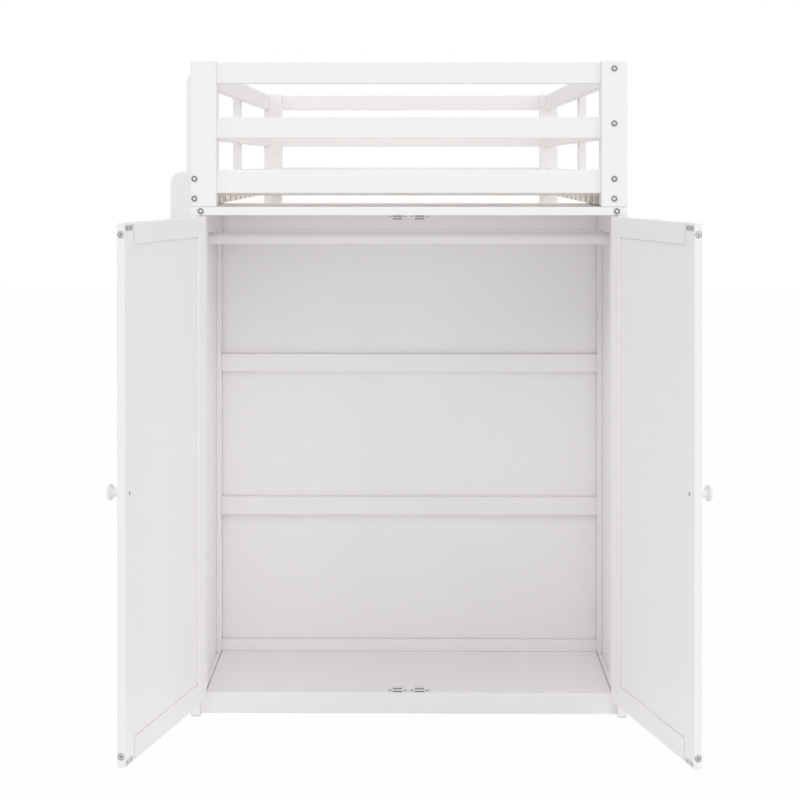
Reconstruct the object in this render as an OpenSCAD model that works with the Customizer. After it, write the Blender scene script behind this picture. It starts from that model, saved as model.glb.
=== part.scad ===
// Loft bed: a white timber bed frame that stands on a two-door wardrobe at its
// foot end and on two full-height posts at its head end, with a ladder on the
// left. Millimetres. +Z is up, the doors face -Y and +X is to the right of them.
// The doors stand open, each turned about its own hinge pins.

/* [Bed frame] */
// Width over the corner posts
bed_w = 1067; // [1030:1:1200]
// Length over the corner posts
bed_l = 2160; // [1980:1:2400]
// Height of the front posts above the wardrobe
post_rise = 356.5; // [345:0.5:450]
// Side of the square corner posts
post = 63; // [58:1:75]
// Thickness of the rails across the ends
end_rail_t = 22; // [18:1:26]
// Height of the top and middle rails and guards
rail_h = 52; // [44:1:60]
// Height of the bottom rail across each end
low_rail_h = 58; // [48:1:70]
// Clear gap from the bottom to the middle end rail
rail_gap = 76.5; // [60:0.5:90]
// Drop of the top rails below the tops of the posts
rail_drop = 3; // [1:0.5:10]
// Set-back of the end rails behind the post faces
rail_set = 12; // [6:1:18]
// Rise of the bottom end rail above the wardrobe
low_rail_rise = 33; // [28:0.5:40]
// Length of the tenons on the end rails
tenon_l = 24; // [16:1:26]
// Rounding of the timber edges
ease = 2.5; // [1:0.5:4]

/* [Side rails] */
// Thickness of the side rails and guards
side_t = 20; // [18:1:24]
// Height of the side rails that carry the slats
side_h = 86; // [78:1:96]
// Gap between the side rails and the wardrobe top
side_rise = 1.5; // [0:0.5:3]
// Inset of the right-hand rails from the post faces
right_inset = 22; // [18:1:26]
// Thickness of the uprights on the guards
upright_t = 22; // [18:1:26]
// Width of the uprights on the guards
upright_w = 60; // [40:1:80]
// Place of the left upright along the bed
left_upright_y = 1250; // [900:5:1500]
// Place of the right upright along the bed
right_upright_y = 1060; // [700:5:1500]

/* [Slats] */
// Number of slats
slat_n = 15; // [12:1:18]
// Width of a slat
slat_w = 60; // [50:1:80]
// Thickness of a slat
slat_t = 18; // [15:1:22]
// Thickness of the ledgers under the slats
ledger_t = 20; // [16:1:26]
// Height of the ledgers under the slats
ledger_h = 25.5; // [22:0.5:30]

/* [Ladder] */
// Distance from the front of the bed to the ladder
ladder_y = 66; // [60:1:68]
// Distance from the ladder to the back of the wardrobe legs
ladder_back = 0; // [0:1:15]
// Thickness of a ladder stile
stile_t = 22; // [18:1:26]
// Depth of a ladder stile
stile_w = 58; // [50:1:80]
// Rounding of the stile tops
stile_r = 32; // [10:1:40]
// Number of ladder steps
step_n = 4; // [3:1:5]
// Thickness of a ladder step
step_t = 22; // [18:1:28]
// Depth to which the steps are let into the stiles
housing = 6; // [4:1:9]

/* [Wardrobe] */
// Height of the wardrobe
wardrobe_h = 1248.5; // [1150:0.5:1350]
// Depth to the back of the battens
wardrobe_d = 400; // [390:1:440]
// Thickness of the wardrobe top
top_t = 20.5; // [18:0.5:24]
// Depth of the ledge in front of the top
ledge_d = 20; // [16:1:22]
// Thickness of the wardrobe legs
leg_t = 34; // [32:1:40]
// Depth of the front legs
front_leg_d = 90; // [86:1:110]
// Depth of the rear legs
rear_leg_d = 40; // [36:1:46]
// Rounding of the feet of the legs
foot_r = 6; // [3:1:8]
// Width of the rebate that takes the door and the fascia
rebate = 12; // [10:1:14]
// Thickness of the fascia under the doors
fascia_t = 18; // [16:1:22]
// Height of the wardrobe floor
floor_z = 56; // [54:0.5:70]
// Gap under the fascia
fascia_gap = 4.5; // [2:0.5:10]
// Thickness of the wardrobe floor
floor_t = 15; // [12:1:18]
// Open joint beside the wardrobe floor
floor_seam = 2; // [0.5:0.5:3]
// Height of the back battens and the wardrobe side rails
batten_h = 47; // [40:1:56]
// Thickness of the back battens
batten_t = 15; // [12:1:20]
// Number of back battens
batten_n = 4; // [3:1:5]
// Thickness of the back panel
back_t = 4; // [3:0.5:6]
// Thickness of the side panels
panel_t = 10; // [8:1:12]
// Diameter of the hanging rod
rod_d = 30; // [25:1:34]
// Drop of the rod's centre below the wardrobe top panel
rod_drop = 65; // [60:1:100]

/* [Doors] */
// Thickness of a door
door_t = 18; // [16:0.5:22]
// Width of the door stiles
door_stile = 55; // [45:1:65]
// Height of the door rails
door_rail = 49; // [42:1:60]
// Thickness of the door panels
door_panel_t = 8; // [6:1:10]
// Gap between a door and its leg
hinge_gap = 2.5; // [1.5:0.25:3]
// Gap between the two doors
centre_gap = 2; // [1:0.5:4]
// Gap between the doors and the ledge
door_top_gap = 2.5; // [1.5:0.5:5]
// Overlap of the doors on the fascia
door_lap = 10; // [6:1:16]
// Opening of the left door at rest in degrees
left_open = 103.6; // [0:0.1:165]
// Opening of the right door at rest in degrees
right_open = 104.3; // [0:0.1:165]
// Height of the knobs above the floor
knob_z = 637; // [500:1:800]
// Diameter of a knob
knob_d = 36.5; // [28:0.5:42]
// Projection of a knob
knob_l = 33; // [26:0.5:40]

/* [Hinges and fastenings] */
// Height of a hinge
hinge_h = 50; // [40:1:70]
// Width of a hinge leaf
leaf_w = 16; // [13:0.5:17]
// Thickness of a hinge leaf
leaf_t = 1.2; // [1:0.1:1.5]
// Radius of the hinge barrel
barrel_r = 3.5; // [3.2:0.1:4]
// Radius of the hinge pin
pin_r = 1.5; // [1.3:0.1:1.8]
// Distance from each door end to the middle of its end hinge
hinge_in = 130; // [100:5:200]
// Diameter of the bolt shanks
bolt_d = 6; // [5:0.5:7]
// Diameter of the bolt heads
bolt_head = 14.5; // [12:0.5:16]
// Head diameter of the bolts in the doors' edges
door_bolt_head = 15.5; // [12:0.5:16]
// Length of the bolts in the posts
bolt_l = 100; // [95:1:110]
// Diameter of a barrel nut
nut_d = 10; // [9:0.5:12]
// Diameter of the wood screws
screw_d = 4; // [3:0.5:5]
// Width of a magnetic catch body
catch_w = 25; // [20:1:30]
// Height of a magnetic catch
catch_h = 11.5; // [9:0.5:13]
// Thickness of the pole plates in a catch
pole_t = 1.8; // [1.2:0.1:2]
// Diameter of the catch screws
catch_screw = 3; // [2.5:0.5:3.5]

/* [Hidden] */
$fn = 40;

paint = [0.93, 0.92, 0.91];
pine = [0.86, 0.71, 0.53];
steel = [0.62, 0.63, 0.65];
plastic = [0.88, 0.87, 0.85];
fit = 0.15;
eps = 0.01;
left = -1;
right = 1;

// Outer planes and heights
half_w = bed_w / 2;
post_x = half_w - post;
bed_h = wardrobe_h + post_rise;
low_rail_z = wardrobe_h + low_rail_rise;
mid_rail_z = low_rail_z + low_rail_h + rail_gap;
top_rail_z = bed_h - rail_drop - rail_h;
side_z = wardrobe_h + side_rise;
left_rail_x = -half_w;
right_rail_x = half_w - right_inset - side_t;
rail_y0 = post;
rail_y1 = bed_l - post;
deck_z = side_z + ledger_h;
brace_zs = [180, 720];

// End rail tenons
tenon_t = end_rail_t - 10;
tenon_edge = 8;

// Ladder
near_top = side_z + side_h - 2;
far_top = bed_h - rail_drop;
ladder_w = wardrobe_d - ladder_back - ladder_y;
far_y = ladder_y + ladder_w - stile_t;
step_gap = side_z / (step_n + 1);
step_w = stile_w - 4;

// Wardrobe
leg_x = half_w - leg_t;
recess_x = leg_x + rebate;
leg_h = wardrobe_h - top_t;
rear_leg_y = wardrobe_d - rear_leg_d;
door_face = door_t + 0.5;
batten_y = wardrobe_d - batten_t;
batten_low = floor_z + 30 - batten_h;
batten_step = (leg_h - batten_h - batten_low) / (batten_n - 1);
groove = 8;
tongue = 6;
rod_y = (door_face + batten_y) / 2;
rod_z = leg_h - rod_drop;
rod_seat = 6;
stub = [12, 30, 45];
stub_x = half_w - 13;

// Doors, drawn closed from u = 0 at the hinge edge
door_w = recess_x - hinge_gap - centre_gap / 2;
door_z0 = floor_z - door_lap;
door_z1 = leg_h - door_top_gap;
door_h = door_z1 - door_z0;
pin_x = recess_x - hinge_gap / 2;
pin_y = -0.5;
pin_end = 1.2;
hinge_bed_h = hinge_h + 2 * (pin_end + 0.4);
door_panel_y = (door_t - door_panel_t) / 2;
hinge_zs = [door_z0 + hinge_in, (door_z0 + door_z1) / 2, door_z1 - hinge_in];
knob_in = door_stile / 2;
plate = [43, 1.5, 12];
catch_x = 27;
catch_d = 14;
catch_y = door_t + 0.8;
pole_proud = 0.4;
ear = [46, 10, 3.5];
ear_hole = 18.5;
plate_hole = 10.5;
plate_zs = [door_z0 + 2.5, door_z1 - 5 - plate.z];

// Bolts: [side, z] of those in the front and in the rear posts
rail_mid = side_z + side_h / 2;
bolt_pair = 48.5;
guard_bolt_z = rail_h * 0.7;
main_bolts = [for (s = [left, right], d = [-1, 1]) [s, rail_mid + d * bolt_pair / 2]];
guard_bolts = [for (z = [mid_rail_z, top_rail_z]) z + guard_bolt_z];
front_bolts = concat(main_bolts, [for (z = guard_bolts) [right, z]]);
rear_bolts = concat(main_bolts, [for (s = [left, right], z = guard_bolts) [s, z]]);
nut_l = 14;
nut_back = 10;
head_h = 2.5;
ledge_bolt_x = leg_x + 8.5;
ledge_bolt_l = ledge_d + 32;
ledge_z = leg_h + top_t / 2;
ledge_nut_y = ledge_bolt_l - 8;

// Overall reach at rest, which sets the middle of the footprint
function turned(x, y, a) = [x * cos(a) + y * sin(a), y * cos(a) - x * sin(a)];
reach_u = pin_x - centre_gap / 2;
reach_y = min([for (a = [left_open, right_open]) turned(reach_u, door_t - pin_y, a).y]) + pin_y;
knob_reach = [for (a = [left_open, right_open])
    turned(reach_u - knob_in, -knob_l - pin_y, a).x];
origin_x = (knob_reach[0] - knob_reach[1]) / 2;
origin_y = (reach_y + bed_l + head_h) / 2;

module at_origin() translate([-origin_x, -origin_y, 0]) children();

// Outline of a rectangle with rounded corners, each an arc of n chords
function rounded(w, h, r, n = 3) = [
    for (c = [[w - r, h - r, 0], [r, h - r, 90], [r, r, 180], [w - r, r, 270]])
        for (i = [0 : n])
            [c[0] + r * cos(c[2] + 90 * i / n), c[1] + r * sin(c[2] + 90 * i / n)]
];

// Timber bars with rounded long edges, along X, Y or Z
module bar_x(s, r = ease) rotate([90, 0, 90]) linear_extrude(s.x) polygon(rounded(s.y, s.z, r));
module bar_y(s, r = ease) translate([0, s.y, 0]) rotate([90, 0, 0])
    linear_extrude(s.y) polygon(rounded(s.x, s.z, r));
module bar_z(s, r = ease) linear_extrude(s.z) polygon(rounded(s.x, s.y, r));

// A cylinder along X, Y or Z from the point p, as long as l says
module round_x(p, d, l) translate(p) rotate([0, 90, 0]) cylinder(d = d, h = l);
module round_y(p, d, l) translate(p) rotate([-90, 0, 0]) cylinder(d = d, h = l);
module round_z(p, d, l) translate(p) cylinder(d = d, h = l);

// Repeats a shape drawn for the left on the right as well
module both_sides() {
    children();
    mirror([1, 0, 0]) children();
}

function rail_x(side) = side == left ? left_rail_x : right_rail_x;
function bolt_x(side) = rail_x(side) + side_t / 2;

// Bolt and screw forms, drawn with the head at the origin and the shank along +Z
module bolt(l, d = bolt_d, head = bolt_head, deep = head_h) difference() {
    rotate_extrude() polygon([
        [0, -deep], [head / 2 - 0.8, -deep], [head / 2, 0.8 - deep], [head / 2, 0],
        [d / 2, 0], [d / 2, l - 1], [d / 2 - 0.8, l], [0, l]
    ]);
    translate([0, 0, -deep - eps]) cylinder(d = head * 0.34, h = deep * 0.7, $fn = 6);
}
module screw(l, d = screw_d, dome = 0) rotate_extrude() polygon(concat(
    dome > 0 ? [[0, -dome], [d * 0.6, -dome * 0.75]] : [[0, 0]],
    [[d, 0], [d / 2, d / 2], [d / 2, l - d], [0, l]]
));
module screw_hole(l, d = screw_d) rotate_extrude() polygon([
    [0, -eps], [d + fit, -eps], [d + fit, fit], [d / 2 + fit, d / 2 + fit],
    [d / 2 + fit, l + fit], [0, l + fit]
]);
module nut(l = nut_l) difference() {
    translate([0, 0, -l / 2]) cylinder(d = nut_d, h = l);
    rotate([90, 0, 0]) cylinder(d = bolt_d + 0.1, h = 2 * nut_d, center = true);
    translate([-nut_d, -0.7, l / 2 - 1.2]) cube([2 * nut_d, 1.4, 2]);
}

// Every wood screw: [point, way in, length], in the bed's own frame
ledger_ys = [for (i = [0 : 5]) rail_y0 + 140 + i * (rail_y1 - rail_y0 - 280) / 5];
stile_ys = [ladder_y + stile_t / 2, far_y + stile_t / 2];
upright_zs = [side_z + side_h * 0.75, mid_rail_z + rail_h / 2, top_rail_z + rail_h / 2];
leg_screw_zs = [1.5 * step_gap, 3.5 * step_gap];
ledger_x = [left_rail_x + side_t + ledger_t, right_rail_x - ledger_t];
ledger_screws = [for (y = ledger_ys, s = [0, 1])
    [[ledger_x[s], y, side_z + ledger_h / 2], s == 0 ? "-x" : "+x", ledger_t + side_t - 4]];
upright_screws = concat(
    [for (z = upright_zs) [[left_rail_x - upright_t, left_upright_y, z], "+x",
        upright_t + side_t - 5]],
    [for (z = upright_zs) [[right_rail_x + side_t + upright_t, right_upright_y, z], "-x",
        upright_t + side_t - 5]]);
stile_screws = concat(
    [for (y = stile_ys, d = [-8, 8]) [[left_rail_x + side_t, y, rail_mid + d], "-x", 50]],
    [for (z = [mid_rail_z, top_rail_z]) [[left_rail_x + side_t, stile_ys[1], z + rail_h / 2],
        "-x", 50]],
    [for (y = stile_ys, z = leg_screw_zs) [[-leg_x, y, z], "-x", leg_t + 25]]);
step_xs = [-half_w - stile_w * 0.72, -half_w - stile_w * 0.28];
step_zs = [for (i = [1 : step_n]) i * step_gap - step_t];
step_screws = [for (z = step_zs, x = step_xs, e = [0, 1])
    [[x, e == 0 ? ladder_y : far_y + stile_t, z + step_t / 2], e == 0 ? "+y" : "-y", 45]];
slat_pitch = (rail_y1 - rail_y0 - 4 - slat_w) / (slat_n - 1);
slat_ys = [for (i = [0 : slat_n - 1]) rail_y0 + 2 + i * slat_pitch];
slat_xs = [left_rail_x + side_t + ledger_t / 2, right_rail_x - ledger_t / 2];
slat_screws = [for (y = slat_ys, x = slat_xs) [[x, y + slat_w / 2, deck_z + slat_t], "-z", 30]];
catch_screws = [for (s = [left, right], e = [-1, 1], t = [0, 1])
    [[s * catch_x + e * ear_hole, catch_y + catch_d / 2,
        t == 0 ? floor_z + ear.z : leg_h - ear.z], t == 0 ? "-z" : "+z", 14]];

function turn_of(way) = way == "+x" ? [0, 90, 0] : way == "-x" ? [0, -90, 0] :
    way == "+y" ? [-90, 0, 0] : way == "-y" ? [90, 0, 0] :
    way == "-z" ? [180, 0, 0] : [0, 0, 0];

module screws(rows, d = screw_d, dome = 0) for (s = rows)
    translate(s[0]) rotate(turn_of(s[1])) screw(s[2], d, dome);
module screw_holes(rows, d = screw_d) for (s = rows)
    translate(s[0]) rotate(turn_of(s[1])) screw_hole(s[2], d);

// Corner posts

// Tenon of an end rail on its left or right end, grown by c for its mortise
module tenon(side, y, z, h, c = 0) {
    x0 = side == left ? -post_x - tenon_l : post_x - 1;
    translate([x0 - c, y + (end_rail_t - tenon_t) / 2 - c, z + tenon_edge - c])
        cube([tenon_l + 1 + 2 * c, tenon_t + 2 * c, h - 2 * tenon_edge + 2 * c]);
}

// Mortises and bolt bores of one post
module post_cuts(side, y0, rows, braces) {
    rail_y = y0 == 0 ? rail_set : bed_l - rail_set - end_rail_t;
    for (r = [[low_rail_z, low_rail_h], [mid_rail_z, rail_h], [top_rail_z, rail_h]])
        tenon(side, rail_y, r[0], r[1], fit);
    if (braces) for (z = brace_zs) tenon(side, rail_y, z, rail_h, fit);
    for (b = rows) if (b[0] == side)
        round_y([bolt_x(side), y0 - 1, b[1]], bolt_d + 0.6, post + 2);
}

module corner_post(side, y0, z0) {
    x0 = side == left ? -half_w : post_x;
    rows = y0 == 0 ? front_bolts : rear_bolts;
    difference() {
        translate([x0, y0, z0]) intersection() {
            bar_z([post, post, bed_h - z0]);
            bar_x([post, post, bed_h - z0]);
            bar_y([post, post, bed_h - z0]);
        }
        post_cuts(side, y0, rows, z0 == 0);
    }
}

// Stub under a front post, which stands in the wardrobe, grown by c for its mortise
module stub_tenon(side, c = 0) translate([
    side * stub_x - stub.x / 2 - c, ledge_d + 5 - c, wardrobe_h - stub.z - c
]) cube([stub.x + 2 * c, stub.y + 2 * c, stub.z + 2 * c + 5]);

module front_post(side) {
    corner_post(side, 0, wardrobe_h);
    stub_tenon(side);
}

module front_left_post() color(paint) at_origin() front_post(left);
module front_right_post() color(paint) at_origin() front_post(right);
module rear_left_post() color(paint) at_origin() corner_post(left, bed_l - post, 0);
module rear_right_post() color(paint) at_origin() corner_post(right, bed_l - post, 0);

// Rails across the ends, with a tenon in each post
module end_rail(front, z, h) {
    y = front ? rail_set : bed_l - rail_set - end_rail_t;
    translate([-post_x, y, z]) bar_x([2 * post_x, end_rail_t, h]);
    for (side = [left, right]) tenon(side, y, z, h);
}

module front_top_rail() color(paint) at_origin() end_rail(true, top_rail_z, rail_h);
module front_middle_rail() color(paint) at_origin() end_rail(true, mid_rail_z, rail_h);
module front_bottom_rail() color(paint) at_origin() end_rail(true, low_rail_z, low_rail_h);
module rear_top_rail() color(paint) at_origin() end_rail(false, top_rail_z, rail_h);
module rear_middle_rail() color(paint) at_origin() end_rail(false, mid_rail_z, rail_h);
module rear_bottom_rail() color(paint) at_origin() end_rail(false, low_rail_z, low_rail_h);
module rear_braces() color(paint) at_origin() for (z = brace_zs) end_rail(false, z, rail_h);

// Rails and guards along the sides

// Bolt bores and barrel nut holes at the ends of a rail that spans z0 to z1
module rail_bores(side, z0, z1) {
    inner = side == left ? rail_x(side) + side_t / 2 - nut_l / 2 - fit : rail_x(side) - 1;
    deep = side_t / 2 + nut_l / 2 + fit + 1;
    for (b = rear_bolts) if (b[0] == side && b[1] > z0 && b[1] < z1) {
        round_y([bolt_x(side), bed_l - bolt_l - 3, b[1]], bolt_d + 0.6, bolt_l - post + 4);
        round_x([inner, bed_l - bolt_l + nut_back, b[1]], nut_d + 2 * fit, deep);
    }
    for (b = front_bolts) if (b[0] == side && b[1] > z0 && b[1] < z1) {
        round_y([bolt_x(side), post - 1, b[1]], bolt_d + 0.6, bolt_l - post + 4);
        round_x([inner, bolt_l - nut_back, b[1]], nut_d + 2 * fit, deep);
    }
}

module long_rail(side, z, h, y0 = rail_y0) difference() {
    translate([rail_x(side), y0, z]) bar_y([side_t, rail_y1 - y0, h]);
    rail_bores(side, z, z + h);
    screw_holes(concat(ledger_screws, stile_screws, upright_screws));
}

module left_side_rail() color(paint) at_origin() long_rail(left, side_z, side_h);
module right_side_rail() color(paint) at_origin() long_rail(right, side_z, side_h);
module left_top_guard() color(paint) at_origin() long_rail(left, top_rail_z, rail_h, far_y);
module left_middle_guard() color(paint) at_origin() long_rail(left, mid_rail_z, rail_h, far_y);
module right_top_guard() color(paint) at_origin() long_rail(right, top_rail_z, rail_h);
module right_middle_guard() color(paint) at_origin() long_rail(right, mid_rail_z, rail_h);

module guard_upright(x, y) difference() {
    translate([x, y - upright_w / 2, side_z])
        bar_z([upright_t, upright_w, top_rail_z + rail_h - side_z]);
    screw_holes(upright_screws);
}
module guard_uprights() color(paint) at_origin() {
    guard_upright(left_rail_x - upright_t, left_upright_y);
    guard_upright(right_rail_x + side_t, right_upright_y);
}

// Slats and the ledgers that carry them
module slat_ledger(x) difference() {
    translate([x, rail_y0, side_z]) bar_y([ledger_t, rail_y1 - rail_y0, ledger_h], ease / 2);
    screw_holes(concat(ledger_screws, slat_screws));
}
module slat_ledgers() color(pine) at_origin() {
    slat_ledger(left_rail_x + side_t);
    slat_ledger(right_rail_x - ledger_t);
}

module slats() color(pine) at_origin() difference() {
    x0 = left_rail_x + side_t + 1;
    for (y = slat_ys) translate([x0, y, deck_z])
        bar_x([right_rail_x - 1 - x0, slat_w, slat_t], ease / 2);
    screw_holes(slat_screws);
}

// Ladder

// A stile with its outer top corner rounded
module ladder_stile(y, top) difference() {
    translate([-half_w - stile_w, y, 0]) intersection() {
        bar_z([stile_w, stile_t, top]);
        translate([0, stile_t, 0]) rotate([90, 0, 0]) linear_extrude(stile_t) polygon(concat(
            [[0, 0], [stile_w, 0], [stile_w, top]],
            [for (i = [0 : 10]) [stile_r - stile_r * sin(9 * i), top - stile_r + stile_r * cos(9 * i)]]
        ));
    }
    steps(fit / 2);
    screw_holes(concat(stile_screws, step_screws));
}

// The steps, grown by c for their housings
module steps(c = 0) for (z = step_zs)
    translate([-half_w - stile_w + 2 - c, ladder_y + stile_t - housing - c, z - c])
        bar_y([step_w + 2 * c, ladder_w - 2 * stile_t + 2 * housing + 2 * c, step_t + 2 * c]);

module ladder_near_stile() color(paint) at_origin() ladder_stile(ladder_y, near_top);
module ladder_far_stile() color(paint) at_origin() ladder_stile(far_y, far_top);
module ladder_steps() color(paint) at_origin() difference() {
    steps();
    screw_holes(step_screws);
}

// Wardrobe carcase

// The side panel of the left side, grown by c along its edges and faces for the grooves
module side_panel(c = 0) translate([-recess_x - panel_t - c, front_leg_d - groove - c, floor_z - groove - c])
    cube([panel_t + 2 * c, rear_leg_y - front_leg_d + 2 * (groove + c),
        leg_h - batten_h - floor_z + 2 * (groove + c)]);

// Beds for the frame leaves and barrels of the hinges in the left leg
module hinge_beds() for (z = hinge_zs) {
    round_z([-pin_x, pin_y, z - hinge_bed_h / 2], 2 * barrel_r + 0.8, hinge_bed_h);
    translate([-recess_x - leaf_t, -1, z - hinge_h / 2 - fit])
        cube([leaf_t + 1, leaf_w + 1 + fit, hinge_h + 2 * fit]);
}

// Screws of the frame leaves, drawn for the left side
leaf_screw_zs = [for (z = hinge_zs, e = [-1, 1]) z + e * hinge_h * 0.3];
module leaf_screw() rotate_extrude() polygon([
    [0, 0], [2.6, 0], [2.6, leaf_t - 0.1], [1.5, leaf_t - 0.1], [1.5, 14], [0, 16]
]);
module leaf_bore() rotate_extrude() polygon([
    [0, -1], [2.75, -1], [2.75, leaf_t + fit], [1.65, leaf_t + fit], [1.65, 16], [0, 16.5]
]);
module frame_leaf_screws() for (z = leaf_screw_zs)
    translate([-recess_x, leaf_w * 0.62, z]) rotate([0, -90, 0]) leaf_screw();
module frame_leaf_bores() for (z = leaf_screw_zs)
    translate([-recess_x, leaf_w * 0.62, z]) rotate([0, -90, 0]) leaf_bore();

module left_front_leg_form() difference() {
    translate([-half_w, 0, 0]) intersection() {
        bar_z([leg_t, front_leg_d, leg_h]);
        bar_x([leg_t, front_leg_d, leg_h + 2 * foot_r], foot_r);
        bar_y([leg_t, front_leg_d, leg_h + 2 * foot_r], foot_r);
    }
    translate([-recess_x, -1, -1]) cube([rebate + 1, door_face + 1, leg_h + 2]);
    translate([-recess_x, -1, -1]) cube([rebate + 1, door_face + fascia_t + 1, floor_z + 1]);
    side_panel(fit);
    hinge_beds();
    frame_leaf_bores();
}

module left_rear_leg_form() difference() {
    translate([-half_w, rear_leg_y, 0]) intersection() {
        bar_z([leg_t, rear_leg_d, leg_h]);
        bar_x([leg_t, rear_leg_d, leg_h + 2 * foot_r], foot_r);
        bar_y([leg_t, rear_leg_d, leg_h + 2 * foot_r], foot_r);
    }
    side_panel(fit);
}

module front_left_leg() color(paint) at_origin() difference() {
    left_front_leg_form();
    stub_tenon(left, fit);
    screw_holes(stile_screws);
}
module front_right_leg() color(paint) at_origin() difference() {
    mirror([1, 0, 0]) left_front_leg_form();
    stub_tenon(right, fit);
}
module rear_left_leg() color(paint) at_origin() difference() {
    left_rear_leg_form();
    screw_holes(stile_screws);
}
module rear_right_leg() color(paint) at_origin() mirror([1, 0, 0]) left_rear_leg_form();

// Top and bottom rails of both sides; the bottom rails also take the floor's tongues
module wardrobe_side_rails() color(paint) at_origin() both_sides() difference() {
    for (z = [floor_z - batten_h, leg_h - batten_h])
        translate([-half_w, front_leg_d, z]) bar_y([leg_t, rear_leg_y - front_leg_d, batten_h]);
    side_panel(fit);
    floor_tongues(fit);
}
module bored_side_panel() difference() {
    side_panel();
    round_x([-recess_x - rod_seat - fit, rod_y, rod_z], rod_d + 2 * fit, rod_seat + 1);
}
module left_side_panel() color(paint) at_origin() bored_side_panel();
module right_side_panel() color(paint) at_origin() mirror([1, 0, 0]) bored_side_panel();

module wardrobe_top() color(paint) at_origin() difference() {
    translate([-half_w, ledge_d, leg_h]) bar_x([bed_w, wardrobe_d + back_t - ledge_d, top_t]);
    for (side = [left, right]) {
        stub_tenon(side, fit);
        round_y([side * ledge_bolt_x, ledge_d - 1, ledge_z], bolt_d + 0.6, ledge_bolt_l - ledge_d + 2);
        round_z([side * ledge_bolt_x, ledge_nut_y, leg_h - 1], nut_d + 2 * fit,
            top_t / 2 + nut_l / 2 + fit + 1);
    }
    screw_holes(catch_screws, catch_screw);
}

module front_ledge() color(paint) at_origin() difference() {
    translate([-half_w, 0, leg_h]) bar_x([bed_w, ledge_d, top_t], ease / 2);
    for (side = [left, right]) round_y([side * ledge_bolt_x, -1, ledge_z], bolt_d + 0.6, ledge_d + 2);
}

// Tongues of the floor, grown by c for the grooves that take them
module floor_tongues(c = 0) for (side = [left, right])
    translate([side * leg_x - tongue - c, front_leg_d + 1 - c, floor_z - floor_t * 0.75 - c])
        cube([2 * tongue + 2 * c, rear_leg_y - front_leg_d - 2 + 2 * c, floor_t / 2 + 2 * c]);

module wardrobe_floor() color(paint) at_origin() {
    x = leg_x - floor_seam;
    y = door_face + fascia_t;
    translate([-x, y, floor_z - floor_t]) bar_x([2 * x, batten_y - y, floor_t], 1);
    floor_tongues();
}

module front_fascia() color(paint) at_origin() difference() {
    translate([-recess_x, door_face, fascia_gap])
        bar_x([2 * recess_x, fascia_t, floor_z - fascia_gap], 1);
    screw_holes(catch_screws, catch_screw);
}

module back_battens() color(paint) at_origin() for (i = [0 : batten_n - 1])
    translate([-leg_x, batten_y, batten_low + i * batten_step])
        bar_x([2 * leg_x, batten_t, batten_h], ease / 2);

module back_panel() color(paint) at_origin() translate([ease - half_w, wardrobe_d, batten_low])
    cube([bed_w - 2 * ease, back_t, leg_h - batten_low]);

module hanging_rod() color(paint) at_origin()
    round_x([-recess_x - rod_seat, rod_y, rod_z], rod_d, 2 * (recess_x + rod_seat));

// Catches: a body with two screwed ears and two steel pole plates, low and high in the opening
pole_w = catch_w - 3;
module poles(c = 0) for (z = [catch_h * 0.21, catch_h * 0.79])
    translate([-pole_w / 2 - c, -pole_proud, z - pole_t / 2 - c])
        cube([pole_w + 2 * c, catch_d - 1 + c, pole_t + 2 * c]);

module magnetic_catch() difference() {
    union() {
        translate([-catch_w / 2, 0, 0]) bar_y([catch_w, catch_d, catch_h], 1);
        translate([-ear.x / 2, (catch_d - ear.y) / 2, 0]) linear_extrude(ear.z)
            polygon(rounded(ear.x, ear.y, 4));
    }
    poles(fit);
    for (e = [-1, 1]) translate([e * ear_hole, catch_d / 2, ear.z]) rotate([180, 0, 0])
        screw_hole(14, catch_screw);
}

module at_catches() at_origin() both_sides() {
    translate([-catch_x, catch_y, floor_z]) children();
    translate([-catch_x, catch_y, leg_h]) mirror([0, 0, 1]) children();
}
module magnetic_catches() color(plastic) at_catches() magnetic_catch();
module catch_poles() color(steel) at_catches() poles();

// Fastenings of the bed

module frame_bolts() color(steel) at_origin() {
    for (b = front_bolts) translate([bolt_x(b[0]), 0, b[1]]) rotate([-90, 0, 0]) bolt(bolt_l);
    for (b = rear_bolts) translate([bolt_x(b[0]), bed_l, b[1]]) rotate([90, 0, 0]) bolt(bolt_l);
    for (side = [left, right]) translate([side * ledge_bolt_x, 0, ledge_z])
        rotate([-90, 0, 0]) bolt(ledge_bolt_l);
}

module barrel_nuts() color(steel) at_origin() {
    for (b = front_bolts) translate([bolt_x(b[0]), bolt_l - nut_back, b[1]])
        rotate([0, -90 * b[0], 0]) nut();
    for (b = rear_bolts) translate([bolt_x(b[0]), bed_l - bolt_l + nut_back, b[1]])
        rotate([0, -90 * b[0], 0]) nut();
    for (side = [left, right]) translate([side * ledge_bolt_x, ledge_nut_y, ledge_z])
        rotate([180, 0, 0]) nut();
}

module wood_screws() color(steel) at_origin() {
    screws(concat(ledger_screws, upright_screws, stile_screws, step_screws, slat_screws));
    screws(catch_screws, catch_screw, dome = 1.3);
    both_sides() frame_leaf_screws();
}

// Hinges: a frame leaf with the end knuckles, a door leaf with the middle one, and a pin

knuckle = (hinge_h - 0.8) / 3;

module frame_leaf(z) difference() {
    union() {
        translate([-recess_x - leaf_t, barrel_r + 0.7, z - hinge_h / 2])
            cube([leaf_t, leaf_w - barrel_r - 0.7, hinge_h]);
        for (k = [-1, 1]) translate([0, 0, z + k * (knuckle + 0.4) - knuckle / 2]) {
            round_z([-pin_x, pin_y, 0], 2 * barrel_r, knuckle);
            translate([-recess_x - leaf_t, pin_y, 0]) cube([leaf_t, barrel_r + 2, knuckle]);
        }
    }
    round_z([-pin_x, pin_y, z - hinge_h], 2 * pin_r + 0.1, 2 * hinge_h);
    frame_leaf_bores();
}
module hinge_frame_leaves() color(steel) at_origin() both_sides() for (z = hinge_zs) frame_leaf(z);

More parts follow.
